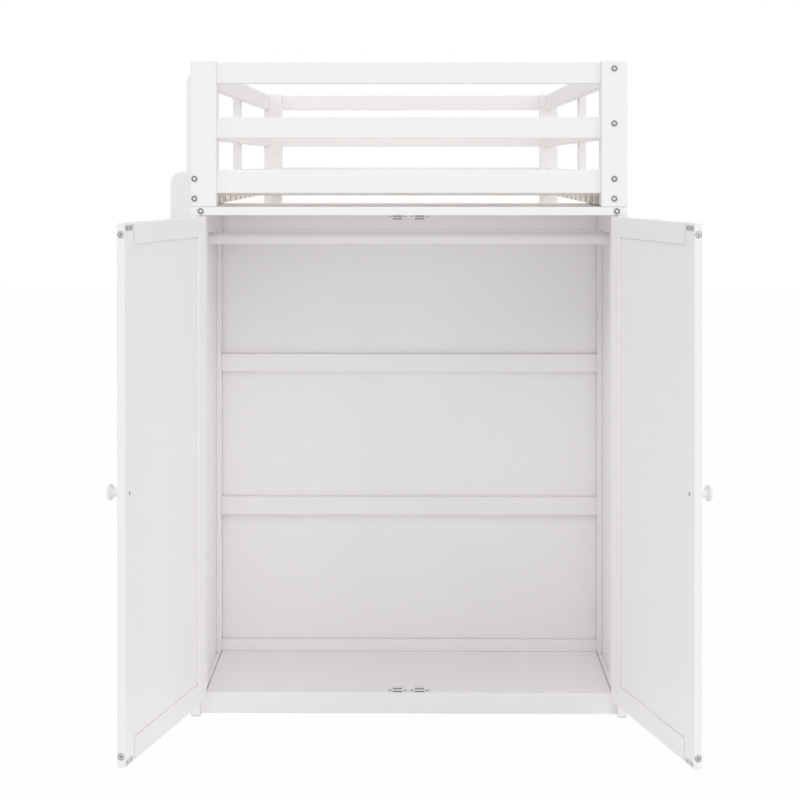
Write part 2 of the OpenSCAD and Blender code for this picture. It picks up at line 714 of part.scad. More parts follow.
module hinge_pins() color(steel) at_origin() both_sides() for (z = hinge_zs)
    translate([-pin_x, pin_y, z - hinge_h / 2]) rotate_extrude() polygon([
        [0, -pin_end], [pin_r + 0.3, -pin_end], [pin_r + 0.7, -0.5], [pin_r + 0.7, -0.05],
        [pin_r, -0.05], [pin_r, hinge_h + 0.05], [pin_r + 0.7, hinge_h + 0.05],
        [pin_r + 0.7, hinge_h + 0.5], [pin_r + 0.3, hinge_h + pin_end], [0, hinge_h + pin_end]
    ]);

// Doors: drawn closed on the left side, then mirrored for the right and swung open

door_x = -(recess_x - hinge_gap);
door_leaf_zs = leaf_screw_zs;
rail_mids = [door_z0 + door_rail / 2, door_z1 - door_rail / 2];
rail_screw_l = door_stile + 30;

module swing(side, angle) translate([side * pin_x, pin_y, 0]) rotate([0, 0, side * angle])
    translate([-side * pin_x, -pin_y, 0]) children();
module left_swing() at_origin() swing(left, left_open) children();
module right_swing() at_origin() swing(right, right_open) mirror([1, 0, 0]) children();

// The door panel, grown by c for its grooves
module door_panel_form(c = 0) translate([
    door_x + door_stile - groove - c, door_panel_y - c, door_z0 + door_rail - groove - c
]) cube([
    door_w - 2 * (door_stile - groove - c), door_panel_t + 2 * c, door_h - 2 * (door_rail - groove - c)
]);

module rail_screw_bores() for (z = rail_mids, e = [0, 1])
    translate([door_x + e * door_w, door_t / 2, z]) mirror([e, 0, 0]) {
        round_x([-1, 0, 0], door_bolt_head + 0.4, head_h + 1.2);
        round_x([0, 0, 0], bolt_d + 0.4, rail_screw_l + head_h + 1);
    }

module door_leaf_beds() for (z = hinge_zs) {
    round_z([-pin_x, pin_y, z - hinge_bed_h / 2], 2 * barrel_r + 0.8, hinge_bed_h);
    translate([door_x - 1, -1, z - hinge_h / 2 - fit])
        cube([leaf_t + 1, leaf_w + 1 + fit, hinge_h + 2 * fit]);
}
module door_leaf_bores() for (z = door_leaf_zs)
    translate([door_x, leaf_w * 0.62, z]) rotate([0, 90, 0]) leaf_bore();

module door_stile_bar() intersection() {
    bar_z([door_stile, door_t, door_h]);
    bar_x([door_stile, door_t, door_h]);
}

module door_hinge_stile() difference() {
    translate([door_x, 0, door_z0]) door_stile_bar();
    door_panel_form(fit);
    rail_screw_bores();
    door_leaf_beds();
    door_leaf_bores();
}

// Strike plates and knob places on the free stile
plate_x = -catch_x;
knob_x = door_x + door_w - knob_in;
module plate_screw(c = 0) rotate_extrude() polygon([
    [0, -c], [3 + c, -c], [1.5 + c, 1.5 + c], [1.5 + c, 11], [0, 12]
]);
module plate_screws(c = 0) for (z = plate_zs, e = [-1, 1])
    translate([plate_x + e * plate_hole, door_t, z + plate.z / 2]) rotate([90, 0, 0]) plate_screw(c);
// The plates, let into the stile; proud lengthens and c widens their beds
module plate_forms(proud = 0, c = 0) for (z = plate_zs)
    translate([plate_x - plate.x / 2 - c, door_t + proud, z - c]) rotate([90, 0, 0])
        linear_extrude(plate.y + proud) polygon(rounded(plate.x + 2 * c, plate.z + 2 * c, 5, 6));

module door_free_stile() difference() {
    translate([door_x + door_w - door_stile, 0, door_z0]) door_stile_bar();
    door_panel_form(fit);
    rail_screw_bores();
    round_y([knob_x, -1, knob_z], 4.4, door_t + 2);
    round_y([knob_x, door_t - 2, knob_z], 8.4, 3);
    plate_forms(1, fit);
    plate_screws(fit);
}

module door_rails() difference() {
    for (z = [door_z0, door_z1 - door_rail]) translate([door_x + door_stile, 0, z])
        bar_x([door_w - 2 * door_stile, door_t, door_rail], ease);
    door_panel_form(fit);
    rail_screw_bores();
}

// Turned knob: a waisted neck, a flaring back and a domed front
knob_rim = knob_l * 0.8;
module door_knob() translate([knob_x, 0, knob_z]) rotate([90, 0, 0]) difference() {
    rotate_extrude() polygon(concat(
        [[0, 0], [knob_d * 0.285, 0], [knob_d * 0.285, 1.5], [knob_d * 0.25, 5],
            [knob_d * 0.25, knob_l * 0.42], [knob_d * 0.27, knob_l * 0.54],
            [knob_d * 0.34, knob_l * 0.64], [knob_d * 0.44, knob_l * 0.7],
            [knob_d / 2 - 0.4, knob_rim - 2]],
        [for (i = [0 : 12]) [2 + (knob_d / 2 - 2) * cos(7.5 * i),
            knob_rim + (knob_l - knob_rim) * sin(7.5 * i)]],
        [[0, knob_l]]
    ));
    translate([0, 0, -1]) cylinder(d = 4.2, h = 16);
}

module door_strike_plates() difference() {
    plate_forms();
    plate_screws(fit);
}

module door_leaf(z) difference() {
    union() {
        translate([door_x, barrel_r + 0.7, z - hinge_h / 2])
            cube([leaf_t, leaf_w - barrel_r - 0.7, hinge_h]);
        translate([0, 0, z - knuckle / 2]) {
            round_z([-pin_x, pin_y, 0], 2 * barrel_r, knuckle);
            translate([door_x, pin_y, 0]) cube([leaf_t, barrel_r + 2, knuckle]);
        }
    }
    round_z([-pin_x, pin_y, z - hinge_h], 2 * pin_r + 0.1, 2 * hinge_h);
    door_leaf_bores();
}
module door_hinge_leaves() for (z = hinge_zs) door_leaf(z);

module door_screws() {
    for (z = rail_mids, e = [0, 1]) translate([door_x + e * door_w, door_t / 2, z])
        mirror([e, 0, 0]) translate([head_h + 0.2, 0, 0]) rotate([0, 90, 0])
            bolt(rail_screw_l - head_h, head = door_bolt_head);
    for (z = door_leaf_zs) translate([door_x, leaf_w * 0.62, z]) rotate([0, 90, 0]) leaf_screw();
    plate_screws();
    translate([knob_x, door_t, knob_z]) rotate([90, 0, 0]) bolt(door_t + 12, 4, 8, 0.05);
}

module left_door_hinge_stile() color(paint) left_swing() door_hinge_stile();
module left_door_free_stile() color(paint) left_swing() door_free_stile();
module left_door_rails() color(paint) left_swing() door_rails();
module left_door_panel() color(paint) left_swing() door_panel_form();
module left_door_knob() color(paint) left_swing() door_knob();
module left_door_strike_plates() color(steel) left_swing() door_strike_plates();
module left_door_hinge_leaves() color(steel) left_swing() door_hinge_leaves();
module left_door_screws() color(steel) left_swing() door_screws();

module right_door_hinge_stile() color(paint) right_swing() door_hinge_stile();
module right_door_free_stile() color(paint) right_swing() door_free_stile();
module right_door_rails() color(paint) right_swing() door_rails();
module right_door_panel() color(paint) right_swing() door_panel_form();
module right_door_knob() color(paint) right_swing() door_knob();
module right_door_strike_plates() color(steel) right_swing() door_strike_plates();
module right_door_hinge_leaves() color(steel) right_swing() door_hinge_leaves();
module right_door_screws() color(steel) right_swing() door_screws();

front_left_post();
front_right_post();
rear_left_post();
rear_right_post();
front_top_rail();
front_middle_rail();
front_bottom_rail();
rear_top_rail();
rear_middle_rail();
rear_bottom_rail();
rear_braces();
left_side_rail();
right_side_rail();
left_top_guard();
left_middle_guard();
right_top_guard();
right_middle_guard();
guard_uprights();
slat_ledgers();
slats();
ladder_near_stile();
ladder_far_stile();
ladder_steps();
front_left_leg();
front_right_leg();
rear_left_leg();
rear_right_leg();
wardrobe_side_rails();
left_side_panel();
right_side_panel();
wardrobe_top();
front_ledge();
wardrobe_floor();
front_fascia();
back_battens();
back_panel();
hanging_rod();
magnetic_catches();
catch_poles();
frame_bolts();
barrel_nuts();
wood_screws();
hinge_frame_leaves();
hinge_pins();
left_door_hinge_stile();
left_door_free_stile();
left_door_rails();
left_door_panel();
left_door_knob();
left_door_strike_plates();
left_door_hinge_leaves();
left_door_screws();
right_door_hinge_stile();
right_door_free_stile();
right_door_rails();
right_door_panel();
right_door_knob();
right_door_strike_plates();
right_door_hinge_leaves();
right_door_screws();
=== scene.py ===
"""Loft bed over a two-door wardrobe: its looks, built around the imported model.

Everything is in metres in the model's own frame: X to the right, Y away from the
viewer, Z up, with the floor at Z = 0. The classes below hold one sub-assembly or
one finish each, and main() builds them in order.
"""

import logging
import math
from dataclasses import dataclass
from enum import Enum, IntEnum
from typing import ClassVar

import bpy
import numpy as np
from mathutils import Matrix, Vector


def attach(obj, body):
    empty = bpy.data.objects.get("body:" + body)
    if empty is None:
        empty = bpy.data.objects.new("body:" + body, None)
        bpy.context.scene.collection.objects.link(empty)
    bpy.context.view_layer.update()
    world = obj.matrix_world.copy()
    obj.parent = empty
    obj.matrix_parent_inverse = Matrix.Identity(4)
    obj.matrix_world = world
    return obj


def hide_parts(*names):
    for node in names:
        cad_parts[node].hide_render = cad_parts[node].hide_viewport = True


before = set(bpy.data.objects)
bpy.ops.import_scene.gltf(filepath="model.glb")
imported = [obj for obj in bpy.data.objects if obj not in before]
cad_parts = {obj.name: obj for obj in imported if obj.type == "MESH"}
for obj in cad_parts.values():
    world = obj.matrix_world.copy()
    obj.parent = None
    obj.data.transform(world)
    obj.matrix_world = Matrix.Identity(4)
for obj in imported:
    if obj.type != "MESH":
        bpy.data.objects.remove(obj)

MM = 0.001  # metres
PLACES = 6  # decimals of a metre that tell two points apart
WHITE = "#FFFFFF"  # also leaves a colour that it is multiplied with as it is
LOG = logging.getLogger("loft_bed")


class Along(Enum):
    """The way the grain of a board runs."""

    X = 0
    Y = 1
    Z = 2

    def stretch(self, share: float) -> list[float]:
        """Gives a scale of 1 across the grain and of the share along it."""
        return [share if axis is self else 1.0 for axis in Along]


def per_metre(size_mm: float) -> float:
    """Gives how often a pattern of that size in mm repeats in a metre."""
    return 1 / (size_mm * MM)


def linear(code: str) -> tuple[float, float, float, float]:
    """Turns an sRGB hex colour into linear light, by the two pieces of the sRGB curve.

    Args:
        code: Six hex digits after a hash sign.

    Returns:
        Red, green, blue in linear light, and an alpha of 1.
    """
    parts = [int(code[i:i + 2], 16) / 255 for i in (1, 3, 5)]
    return (*[p / 12.92 if p <= 0.04045 else ((p + 0.055) / 1.055) ** 2.4 for p in parts], 1.0)


def add(tree: bpy.types.NodeTree, kind: str, inputs: dict | None = None,
        **settings: object) -> bpy.types.Node:
    """Adds one shader node with its settings, values and links.

    A socket goes by its number where its name isn't its own: a Mix node of colours
    has its factor at 0 and its colours at 6 and 7, and gives its colour at 2.

    Args:
        tree: The material's or the world's node tree.
        kind: The node's type without its ShaderNode prefix.
        inputs: Socket name or number to a value, or to the socket that feeds it.
        settings: Properties of the node itself.

    Returns:
        The new node.
    """
    node = tree.nodes.new("ShaderNode" + kind)
    for name, value in settings.items():
        setattr(node, name, value)
    for key, value in (inputs or {}).items():
        if isinstance(value, bpy.types.NodeSocket):
            tree.links.new(value, node.inputs[key])
        else:
            node.inputs[key].default_value = value
    return node


def ramp(tree: bpy.types.NodeTree, fac: bpy.types.NodeSocket,
         *stops: tuple[float, str]) -> bpy.types.Node:
    """Adds a colour ramp.

    Args:
        tree: The node tree.
        fac: The socket that runs along the ramp.
        stops: Place and hex colour of each stop.

    Returns:
        The ramp node.
    """
    node = add(tree, "ValToRGB", {0: fac})
    points = node.color_ramp.elements
    while len(points) < len(stops):
        points.new(0.5)
    for point, (place, code) in zip(points, stops):
        point.position = place
        point.color = linear(code)
    return node


def new_material(name: str) -> tuple[bpy.types.Material, bpy.types.NodeTree]:
    """Makes an empty node material.

    Args:
        name: The finish's name.

    Returns:
        The material and its tree.
    """
    material = bpy.data.materials.new(name)
    material.use_nodes = True
    material.node_tree.nodes.clear()
    return material, material.node_tree


# Finishes

@dataclass(frozen=True)
class SatinPaint:
    """Satin white furniture paint, sprayed over planed timber and sanded between coats.

    To the eye: a soft even white whose sheen is broken by the faint ridges of the
    grain below and by a very fine orange peel, with thin grey lines of painted shade
    where two boards meet in a corner or a seam.

    The ridges repeat every grain_mm across the board, and at grain_share of that rate
    along it. The colour drifts to the shade and back over cloud_mm, and the grey of the
    painted shade reaches painted_shade_mm out of its corner.
    """

    name: str
    grain: Along
    colour: str = "#FBF9F9"
    shade: str = "#F9F7F7"
    roughness: float = 0.42
    grain_mm: float = 3.2
    grain_share: float = 0.035
    grain_relief_mm: float = 0.05
    peel_mm: float = 0.9
    peel_relief_mm: float = 0.012
    cloud_mm: float = 200.0
    painted_shade: str = "#CFC9C6"
    painted_shade_mm: float = 5.0

    def build(self) -> bpy.types.Material:
        """Builds the material.

        Returns:
            The finished material.
        """
        material, tree = new_material(self.name)
        place = add(tree, "TexCoord").outputs["Object"]
        along = add(tree, "Mapping", {"Vector": place, "Scale": self.grain.stretch(self.grain_share)})
        grain = add(tree, "TexNoise", {
            "Vector": along.outputs[0], "Scale": per_metre(self.grain_mm), "Detail": 3.0,
            "Roughness": 0.55, "Distortion": 0.3})
        peel = add(tree, "TexNoise", {
            "Vector": place, "Scale": per_metre(self.peel_mm), "Detail": 1.0})
        cloud = add(tree, "TexNoise", {
            "Vector": along.outputs[0], "Scale": per_metre(self.cloud_mm), "Detail": 2.0})
        tone = ramp(tree, cloud.outputs["Fac"], (0.3, self.shade), (0.7, self.colour))
        # Painted shade: ambient occlusion darkens the paint to a grey within painted_shade_mm of a corner
        # or of a gap between boards.
        nook = add(tree, "AmbientOcclusion", {"Distance": self.painted_shade_mm * MM}, samples=4)
        line = ramp(tree, nook.outputs["AO"], (0.4, self.painted_shade), (0.66, WHITE))
        paint = add(tree, "Mix", {0: 1.0, 6: tone.outputs[0], 7: line.outputs[0]},
                    data_type="RGBA", blend_type="MULTIPLY")
        sheen = add(tree, "MapRange", {
            "Value": grain.outputs["Fac"], "From Min": 0.3, "From Max": 0.7,
            "To Min": self.roughness - 0.04, "To Max": self.roughness + 0.05})
        fine = add(tree, "Bump", {
            "Height": peel.outputs["Fac"], "Strength": 1.0, "Distance": self.peel_relief_mm * MM})
        ridges = add(tree, "Bump", {
            "Height": grain.outputs["Fac"], "Strength": 1.0,
            "Distance": self.grain_relief_mm * MM, "Normal": fine.outputs[0]})
        shader = add(tree, "BsdfPrincipled", {
            "Base Color": paint.outputs[2], "Roughness": sheen.outputs[0], "IOR": 1.5,
            "Specular IOR Level": 0.4, "Normal": ridges.outputs[0]})
        add(tree, "OutputMaterial", {"Surface": shader.outputs[0]})
        return material


@dataclass(frozen=True)
class RawPine:
    """Bare planed pine with no finish.

    To the eye: pale straw early wood between narrow amber rings that run along the
    board, a few knots, short dark resin ducts and a dry matt surface. Where
    painted_shade_mm is set, brown bands of painted shade cross the board painted_shade_mm apart, with
    one at painted_shade_start_mm along the grain: the painted shade of the slats that rest
    on the board.

    The rings meet the face ring_mm apart across the grain, and sway by up to
    sway_reach_mm every sway_mm or so. Along the board, all but the knots repeats at
    grain_share of its rate across it.
    """

    name: str
    grain: Along
    early: str = "#FBF5EF"
    late: str = "#EADFD4"
    duct: str = "#EADCCD"
    knot: str = "#B39A84"
    grain_share: float = 0.06
    ring_mm: float = 19.74
    ring_relief_mm: float = 0.06
    sway_mm: float = 71.43
    sway_reach_mm: float = 30.0
    duct_mm: float = 1.111
    knot_gap_mm: float = 238.1
    roughness: float = 0.62
    painted_shade: str = "#C4B6A8"
    painted_shade_mm: float = 0.0
    painted_shade_start_mm: float = 0.0

    def build(self) -> bpy.types.Material:
        """Builds the material.

        Returns:
            The finished material.
        """
        material, tree = new_material(self.name)
        place = add(tree, "TexCoord").outputs["Object"]
        along = add(tree, "Mapping", {"Vector": place, "Scale": self.grain.stretch(self.grain_share)})
        sway = add(tree, "TexNoise", {
            "Vector": along.outputs[0], "Scale": per_metre(self.sway_mm), "Detail": 2.0})
        bent = add(tree, "VectorMath", {0: sway.outputs["Color"], 1: [self.sway_reach_mm * MM] * 3},
                   operation="MULTIPLY")
        moved = add(tree, "VectorMath", {0: along.outputs[0], 1: bent.outputs[0]}, operation="ADD")
        # A diagonal band comes back when ten times the scale times x + y + z has grown by a full turn.
        rings = add(tree, "TexWave", {
            "Vector": moved.outputs[0], "Scale": math.tau / 10 * per_metre(self.ring_mm),
            "Distortion": 2.0, "Detail": 2.0, "Detail Scale": 1.5},
                    wave_type="BANDS", bands_direction="DIAGONAL", wave_profile="SAW")
        ducts = add(tree, "TexNoise", {
            "Vector": along.outputs[0], "Scale": per_metre(self.duct_mm), "Detail": 1.0})
        knots = add(tree, "TexVoronoi", {
            "Vector": place, "Scale": per_metre(self.knot_gap_mm), "Randomness": 1.0})
        wood = ramp(tree, rings.outputs["Fac"], (0.0, self.early), (0.7, self.early), (1.0, self.late))
        dark = ramp(tree, ducts.outputs["Fac"], (0.62, WHITE), (0.75, self.duct))
        knot = ramp(tree, knots.outputs["Distance"], (0.02, self.knot), (0.06, WHITE))
        ringed = add(tree, "Mix", {0: 0.6, 6: wood.outputs[0], 7: dark.outputs[0]},
                     data_type="RGBA", blend_type="MULTIPLY")
        colour = add(tree, "Mix", {0: 0.8, 6: ringed.outputs[2], 7: knot.outputs[0]},
                     data_type="RGBA", blend_type="MULTIPLY").outputs[2]
        # Painted shade: brown bands across the grain, painted_shade_mm apart, for the shade of the slats
        # above.
        if self.painted_shade_mm:
            parts = add(tree, "SeparateXYZ", {0: place})
            start = add(tree, "Math", {0: parts.outputs[self.grain.value], 1: self.painted_shade_start_mm * MM},
                        operation="SUBTRACT")
            count = add(tree, "Math", {0: start.outputs[0], 1: self.painted_shade_mm * MM},
                        operation="DIVIDE")
            share = add(tree, "Math", {0: count.outputs[0]}, operation="FRACT")
            band = ramp(tree, share.outputs[0], (0.0, self.painted_shade), (0.07, self.painted_shade), (0.11, WHITE),
                        (0.89, WHITE), (0.93, self.painted_shade))
            colour = add(tree, "Mix", {0: 1.0, 6: colour, 7: band.outputs[0]},
                         data_type="RGBA", blend_type="MULTIPLY").outputs[2]
        relief = add(tree, "Bump", {
            "Height": rings.outputs["Fac"], "Strength": 1.0, "Distance": self.ring_relief_mm * MM})
        shader = add(tree, "BsdfPrincipled", {
            "Base Color": colour, "Roughness": self.roughness, "IOR": 1.5,
            "Specular IOR Level": 0.3, "Normal": relief.outputs[0]})
        add(tree, "OutputMaterial", {"Surface": shader.outputs[0]})
        return material


@dataclass(frozen=True)
class PlatedSteel:
    """Rolled or turned steel with a thin plating: clear zinc, unless the colour is given.

    To the eye: a cool grey metal whose shine is clouded by the plating's crystals
    and by fine scratches, which run upright.
    """

    name: str
    colour: str = "#B4B5B8"
    roughness: float = 0.34
    cloud_mm: float = 1.6
    scratch_mm: float = 0.4
    scratch_share: float = 0.08
    scratch_relief_mm: float = 0.004

    def build(self) -> bpy.types.Material:
        """Builds the material.

        Returns:
            The finished material.
        """
        material, tree = new_material(self.name)
        place = add(tree, "TexCoord").outputs["Object"]
        cloud = add(tree, "TexNoise", {
            "Vector": place, "Scale": per_metre(self.cloud_mm), "Detail": 2.0})
        streak = add(tree, "Mapping", {
            "Vector": place, "Scale": Along.Z.stretch(self.scratch_share)})
        scratch = add(tree, "TexNoise", {
            "Vector": streak.outputs[0], "Scale": per_metre(self.scratch_mm), "Detail": 1.0})
        sheen = add(tree, "MapRange", {
            "Value": cloud.outputs["Fac"], "From Min": 0.3, "From Max": 0.7,
            "To Min": self.roughness - 0.06, "To Max": self.roughness + 0.08})
        relief = add(tree, "Bump", {
            "Height": scratch.outputs["Fac"], "Strength": 1.0,
            "Distance": self.scratch_relief_mm * MM})
        shader = add(tree, "BsdfPrincipled", {
            "Base Color": linear(self.colour), "Metallic": 1.0, "Roughness": sheen.outputs[0],
            "Normal": relief.outputs[0]})
        add(tree, "OutputMaterial", {"Surface": shader.outputs[0]})
        return material


@dataclass(frozen=True)
class MouldedPlastic:
    """Injection-moulded ABS with the fine spark-eroded texture of its mould.

    To the eye: a slightly warm white with a dull, even sheen.
    """

    name: str
    colour: str = "#E6E4E1"
    roughness: float = 0.45
    spark_mm: float = 1 / 3
    spark_relief_mm: float = 0.01

    def build(self) -> bpy.types.Material:
        """Builds the material.

        Returns:
            The finished material.
        """
        material, tree = new_material(self.name)
        place = add(tree, "TexCoord").outputs["Object"]
        spark = add(tree, "TexNoise", {
            "Vector": place, "Scale": per_metre(self.spark_mm), "Detail": 1.0})
        sheen = add(tree, "MapRange", {
            "Value": spark.outputs["Fac"], "From Min": 0.3, "From Max": 0.7,
            "To Min": self.roughness - 0.05, "To Max": self.roughness + 0.05})
        relief = add(tree, "Bump", {
            "Height": spark.outputs["Fac"], "Strength": 1.0, "Distance": self.spark_relief_mm * MM})
        shader = add(tree, "BsdfPrincipled", {
            "Base Color": linear(self.colour), "Roughness": sheen.outputs[0], "IOR": 1.53,
            "Normal": relief.outputs[0]})
        add(tree, "OutputMaterial", {"Surface": shader.outputs[0]})
        return material


# Meshes

def grid_faces(rows: int, columns: int, closed: bool) -> np.ndarray:
    """Gives the four-sided faces of a grid of points.

    Args:
        rows: Points along the first parameter.
        columns: Points along the second parameter.
        closed: Whether the last column joins the first.

    Returns:
        An array of four point numbers for each face.
    """
    i = np.arange(rows - 1)[:, None]
    j = np.arange(columns if closed else columns - 1)[None, :]
    k = (j + 1) % columns
    near, far = i * columns, (i + 1) * columns
    return np.stack([near + j, near + k, far + k, far + j], axis=-1).reshape(-1, 4)


def mesh_object(name: str, points: np.ndarray, faces: list[list[int]],
                smooth_angle: float = 35.0) -> bpy.types.Object:
    """Makes an object at the origin from points and faces.

    Args:
        name: The piece's name.
        points: One row of x, y, z for each point, in metres.
        faces: Point numbers of each face.
        smooth_angle: Edges sharper than this, in degrees, stay sharp.

    Returns:
        The new object, linked to the scene.
    """
    mesh = bpy.data.meshes.new(name)
    mesh.from_pydata(points, [], faces)
    mesh.update()
    mesh.shade_smooth()
    mesh.set_sharp_from_angle(angle=math.radians(smooth_angle))
    made = bpy.data.objects.new(name, mesh)
    bpy.context.scene.collection.objects.link(made)
    return made


def solids_of(node: str) -> list[np.ndarray]:
    """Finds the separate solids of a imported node.

    Points that share a place are one point, and each point takes the lowest number
    that its triangles reach, until none changes.

    Args:
        node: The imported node's name.

    Returns:
        The points of each solid, in metres.
    """
    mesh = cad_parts[node].data
    points = np.empty(len(mesh.vertices) * 3)
    mesh.vertices.foreach_get("co", points)
    points = points.reshape(-1, 3)
    mesh.calc_loop_triangles()
    triangles = np.empty(len(mesh.loop_triangles) * 3, int)
    mesh.loop_triangles.foreach_get("vertices", triangles)
    _, same = np.unique(np.round(points, PLACES), axis=0, return_inverse=True)
    same = same.ravel()
    triangles = same[triangles].reshape(-1, 3)
    label = np.arange(same.max() + 1)
    while True:
        lowest = label[triangles].min(1)
        new = label.copy()
        for corner in range(3):
            np.minimum.at(new, triangles[:, corner], lowest)
        new = new[new]
        if (new == label).all():
            break
        label = new
    owner = label[same]
    return [points[owner == n] for n in np.unique(owner)]


def basis(axis: np.ndarray) -> np.ndarray:
    """Gives three square unit rows, of which the third is the axis.

    Args:
        axis: A direction of any length.

    Returns:
        A 3 x 3 array, right-handed.
    """
    a = axis / np.linalg.norm(axis)
    upright = abs(a[2]) > 0.9
    u = np.cross((1.0, 0.0, 0.0) if upright else (0.0, 0.0, 1.0), a)
    u /= np.linalg.norm(u)
    return np.stack([u, np.cross(a, u), a])


def turns(columns: int) -> np.ndarray:
    """Gives evenly spaced angles round a full turn, in radians."""
    return np.arange(columns) * 2 * math.pi / columns


def rings_of(profile: list[tuple], columns: int) -> np.ndarray:
    """Stacks rings along the third axis.

    A point is (r cos t, r sin t, h), where r may change with the angle t, as it does
    round a hexagon or a cross.

    Args:
        profile: Radius, or one radius for each angle, and height of each ring, in mm.
        columns: Points on a ring.

    Returns:
        Rings x columns x 3 points, in mm.
    """
    t = turns(columns)
    return np.stack([np.stack([r * np.cos(t), r * np.sin(t), np.full(columns, float(h))], 1)
                     for r, h in profile])


class Shell:
    """Collects closed surfaces made of stacked rings, and makes them one piece."""

    def __init__(self) -> None:
        """Starts empty."""
        self.points: list[np.ndarray] = []
        self.faces: list[list[int]] = []
        self.finish: list[int] = []
        self.count = 0

    def rings(self, stack: np.ndarray, bands: list[int]) -> None:
        """Adds one closed surface: each ring joins the next, and each end closes to its middle.

        Args:
            stack: Rings x columns x 3 points in metres, from the seen end inwards.
            bands: Material number of the first cap, of each band and of the last cap.
        """
        rows, columns, _ = stack.shape
        first, last = self.count, self.count + (rows - 1) * columns
        middle = self.count + rows * columns
        j = np.arange(columns)
        k = (j + 1) % columns
        self.points += [stack.reshape(-1, 3), stack[[0, -1]].mean(1)]
        self.faces += np.stack([np.full(columns, middle), k + first, j + first], 1).tolist()
        self.faces += (grid_faces(rows, columns, closed=True) + first).tolist()
        self.faces += np.stack([np.full(columns, middle + 1), j + last, k + last], 1).tolist()
        self.finish += np.repeat(bands, columns).tolist()
        self.count += rows * columns + 2

    def piece(self, name: str, materials: list[bpy.types.Material],
              smooth_angle: float = 35.0) -> bpy.types.Object:
        """Makes the piece.

        Args:
            name: The piece's name.
            materials: Its materials, in the order that the bands number them.
            smooth_angle: Edges sharper than this, in degrees, stay sharp.

        Returns:
            The new object.
        """
        made = mesh_object(name, np.concatenate(self.points), self.faces, smooth_angle)
        for material in materials:
            made.data.materials.append(material)
        made.data.polygons.foreach_set("material_index", np.array(self.finish, np.int32))
        return made


def seen_directly(tree: bpy.types.NodeTree) -> bpy.types.NodeSocket:
    """Gives 1 for rays from the camera, a mirror or glass, and 0 for the rest.

    Args:
        tree: The node tree.

    Returns:
        The socket with that value.
    """
    path = add(tree, "LightPath")
    first = add(tree, "Math", {0: path.outputs["Is Camera Ray"], 1: path.outputs["Is Glossy Ray"]},
                operation="MAXIMUM")
    both = add(tree, "Math", {0: first.outputs[0], 1: path.outputs["Is Transmission Ray"]},
               operation="MAXIMUM")
    return both.outputs[0]


@dataclass(frozen=True)
class Lamp:
    """One wide, far soft light.

    Its azimuth is in degrees to the right of the viewer and its height in degrees
    above the horizon. Its softness is how wide it looks from the bed, in degrees, and
    its share is what it adds to a white surface that faces it, where 1 is full white.
    """

    name: str
    azimuth: float
    height: float
    softness: float
    share: float

    def build(self) -> None:
        """Adds the lamp, turned so that its light comes from there."""
        data = bpy.data.lights.new(self.name, "SUN")
        data.angle = math.radians(self.softness)
        data.energy = self.share * math.pi
        lamp = bpy.data.objects.new(self.name, data)
        a, e = math.radians(self.azimuth), math.radians(self.height)
        source = Vector((math.sin(a) * math.cos(e), -math.cos(a) * math.cos(e), math.sin(e)))
        lamp.rotation_euler = (-source).to_track_quat("-Z", "Y").to_euler()
        bpy.context.scene.collection.objects.link(lamp)


